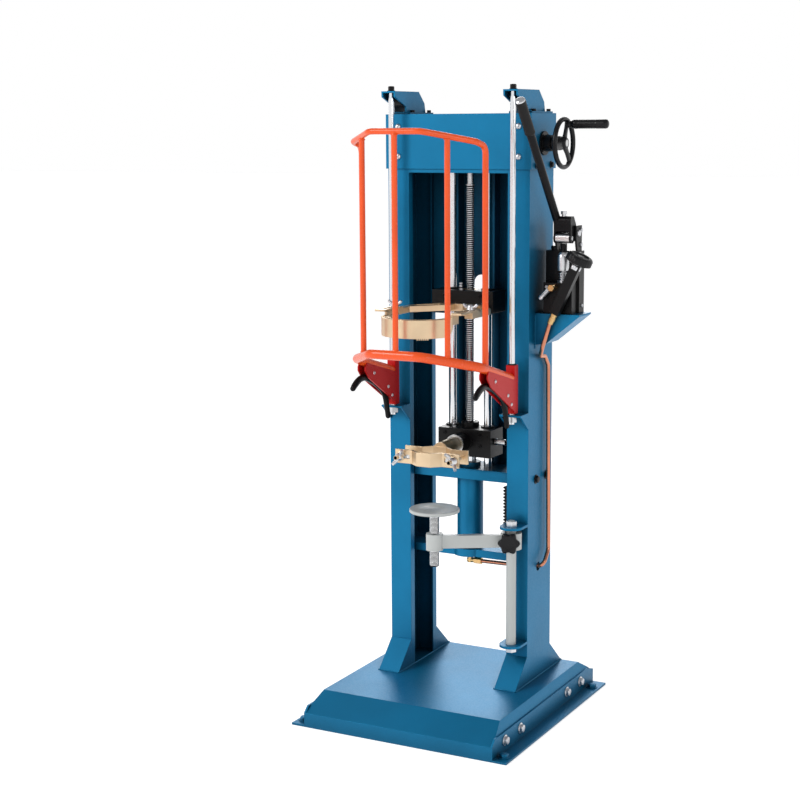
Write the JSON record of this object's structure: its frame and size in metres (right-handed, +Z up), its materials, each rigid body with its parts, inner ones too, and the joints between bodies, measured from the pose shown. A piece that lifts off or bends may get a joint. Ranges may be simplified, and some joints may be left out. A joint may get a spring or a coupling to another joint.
{
  "type": "coil spring compressor",
  "caption": "Floor-standing coil spring compressor: twin columns, handwheel-driven upper jaw, hydraulic lower clamp with hand pump, sliding tube guard and strut rest.",
  "frame": {"origin": "On the lead screw's axis at floor level, on the underside of the base's cross rib.", "axes": "+X to the operator's right, +Y to the back, +Z up along the columns."},
  "size_m": [0.631, 0.615, 1.518],
  "materials": {
    "blue_paint": "semi-gloss powder coat, bright blue",
    "orange_paint": "semi-gloss orange-red powder coat",
    "red_paint": "semi-gloss red powder coat",
    "black_paint": "satin black paint",
    "chrome": "hard chrome plate, ground",
    "bright_steel": "turned steel, oiled",
    "grey_paint": "light grey semi-gloss paint",
    "zinc_bolts": "zinc plated",
    "yellow_zinc": "yellow passivated zinc plate",
    "brass": "machined brass",
    "copper": "drawn copper tube, slightly dull",
    "black_plastic": "moulded black plastic",
    "black_rubber": "black rubber",
    "lever_steel": "black oxide steel"
  },
  "bodies": {
    "frame": {"base_platform": "blue_paint", "base_cross_rib": "blue_paint", "base_angles": "blue_paint", "left_column": "blue_paint", "right_column": "blue_paint", "column_gussets": "blue_paint", "crosshead": "blue_paint", "crosshead_plate": "blue_paint", "top_brackets": "blue_paint", "guard_rod_feet": "blue_paint", "back_panel": "blue_paint", "cross_beam": "blue_paint", "cylinder_tube": "blue_paint", "cylinder_foot": "blue_paint", "post_brackets": "blue_paint", "pump_shelf": "blue_paint", "pump_body": "black_paint", "toothed_rack": "black_paint", "handwheel_bearing": "black_paint", "left_guard_rod": "chrome", "right_guard_rod": "chrome", "left_guide_column": "chrome", "right_guide_column": "chrome", "thrust_bearing": "bright_steel", "support_post": "grey_paint", "frame_bolts": "zinc_bolts", "frame_nuts": "zinc_bolts", "pipe_fittings": "brass", "copper_pipe": "copper", "rubber_buffers": "black_rubber"},
    "upper_slider": {"upper_slider_block": "black_paint", "leadscrew_nut": "brass", "upper_yoke": "yellow_zinc"},
    "upper_jaw": {"upper_jaw": "yellow_zinc"},
    "left_wing_screw": {"left_wing_screw": "zinc_bolts"},
    "right_wing_screw": {"right_wing_screw": "zinc_bolts"},
    "screw": {"lead_screw": "bright_steel", "screw_bevel_gear": "bright_steel"},
    "handwheel": {"handwheel": "black_plastic", "handwheel_shaft": "bright_steel"},
    "wheel_handle": {"wheel_handle": "black_plastic"},
    "lower_slider": {"lower_slider_block": "black_paint", "piston_rod": "chrome", "clamp_rear": "yellow_zinc"},
    "clamp_front": {"clamp_front": "yellow_zinc"},
    "left_clamp_nut": {"left_clamp_nut": "zinc_bolts"},
    "right_clamp_nut": {"right_clamp_nut": "zinc_bolts"},
    "guard": {"guard_frame": "orange_paint", "left_guard_carriage": "red_paint", "right_guard_carriage": "red_paint"},
    "left_brake_lever": {"left_brake_lever": "black_paint"},
    "right_brake_lever": {"right_brake_lever": "black_paint"},
    "support_slide": {"support_bush": "brass"},
    "support_arm": {"support_arm": "grey_paint"},
    "star_knob": {"star_knob": "black_plastic"},
    "support_disc": {"support_disc": "grey_paint"},
    "pump_lever": {"pump_lever": "lever_steel", "pump_grip": "black_rubber"},
    "pump_plunger": {"pump_plunger": "bright_steel"},
    "release_knob": {"release_knob": "black_plastic"}
  },
  "joints": [
    {"name": "upper_slide", "type": "slide", "parent": "frame", "child": "upper_slider", "axis": [0, 0, 1], "range_m": [-0.1, 0.235]},
    {"name": "jaw_reach", "type": "slide", "parent": "upper_slider", "child": "upper_jaw", "axis": [0, 1, 0], "range_m": [0, 0.05]},
    {"name": "left_jaw_lock", "type": "hinge", "parent": "upper_slider", "child": "left_wing_screw", "pos_m": [-0.099, -0.205, 1], "axis": [0, 0, 1], "range_deg": [0, 720]},
    {"name": "right_jaw_lock", "type": "hinge", "parent": "upper_slider", "child": "right_wing_screw", "pos_m": [0.099, -0.205, 1], "axis": [0, 0, 1], "range_deg": [0, 720]},
    {"name": "screw_spin", "type": "hinge", "parent": "frame", "child": "screw", "pos_m": [0, 0, 1.3], "axis": [0, 0, 1], "range_deg": [-7201, 16921]},
    {"name": "handwheel_spin", "type": "hinge", "parent": "frame", "child": "handwheel", "pos_m": [0.243, 0, 1.382], "axis": [1, 0, 0], "range_deg": [-7201, 16921]},
    {"name": "handle_spin", "type": "hinge", "parent": "handwheel", "child": "wheel_handle", "pos_m": [0.3, 0.0159, 1.4257], "axis": [1, 0, 0], "continuous": true},
    {"name": "lower_lift", "type": "slide", "parent": "frame", "child": "lower_slider", "axis": [0, 0, 1], "range_m": [0, 0.13]},
    {"name": "clamp_close", "type": "slide", "parent": "lower_slider", "child": "clamp_front", "axis": [0, 1, 0], "range_m": [0, 0.04]},
    {"name": "left_nut_spin", "type": "hinge", "parent": "clamp_front", "child": "left_clamp_nut", "pos_m": [-0.07, -0.242, 0.65], "axis": [0, 1, 0], "range_deg": [0, 9601]},
    {"name": "right_nut_spin", "type": "hinge", "parent": "clamp_front", "child": "right_clamp_nut", "pos_m": [0.07, -0.242, 0.65], "axis": [0, 1, 0], "range_deg": [0, 9601]},
    {"name": "guard_lift", "type": "slide", "parent": "frame", "child": "guard", "axis": [0, 0, 1], "range_m": [0, 0.58]},
    {"name": "left_brake", "type": "hinge", "parent": "guard", "child": "left_brake_lever", "pos_m": [-0.1595, -0.15, 0.8], "axis": [-1, 0, 0], "range_deg": [0, 8], "stiffness_Nm_per_rad": 1, "springref_deg": -17.19},
    {"name": "right_brake", "type": "hinge", "parent": "guard", "child": "right_brake_lever", "pos_m": [0.1595, -0.15, 0.8], "axis": [-1, 0, 0], "range_deg": [0, 8], "stiffness_Nm_per_rad": 1, "springref_deg": -17.19},
    {"name": "support_height", "type": "slide", "parent": "frame", "child": "support_slide", "axis": [0, 0, 1], "range_m": [-0.2, 0.005]},
    {"name": "support_swivel", "type": "hinge", "parent": "support_slide", "child": "support_arm", "pos_m": [0.1595, -0.104, 0.44], "axis": [0, 0, 1], "range_deg": [0, 80]},
    {"name": "star_knob_turn", "type": "hinge", "parent": "support_arm", "child": "star_knob", "pos_m": [0.1595, -0.104, 0.441], "axis": [-0.2588, 0.9659, 0], "range_deg": [-540, 0]},
    {"name": "disc_height", "type": "slide", "parent": "support_arm", "child": "support_disc", "axis": [0, 0, 1], "range_m": [-0.05, 0.035]},
    {"name": "pump_stroke", "type": "hinge", "parent": "frame", "child": "pump_lever", "pos_m": [0.249, 0.012, 1.172], "axis": [1, 0, 0], "range_deg": [0, 40]},
    {"name": "plunger_stroke", "type": "slide", "parent": "frame", "child": "pump_plunger", "axis": [0, 0, -1], "range_m": [0, 0.0156]},
    {"name": "release_turn", "type": "hinge", "parent": "frame", "child": "release_knob", "pos_m": [0.298, -0.046, 1.103], "axis": [0.4287, 0, 0.9034], "range_deg": [0, 270]}
  ],
  "couplings": [
    {"joint": "screw_spin", "follows": "upper_slide", "rad_per_m": 1256.6},
    {"joint": "handwheel_spin", "follows": "upper_slide", "rad_per_m": 1256.6},
    {"joint": "left_nut_spin", "follows": "clamp_close", "rad_per_m": 4188.8},
    {"joint": "right_nut_spin", "follows": "clamp_close", "rad_per_m": 4188.8},
    {"joint": "plunger_stroke", "follows": "pump_stroke", "m_per_rad": 0.022}
  ]
}
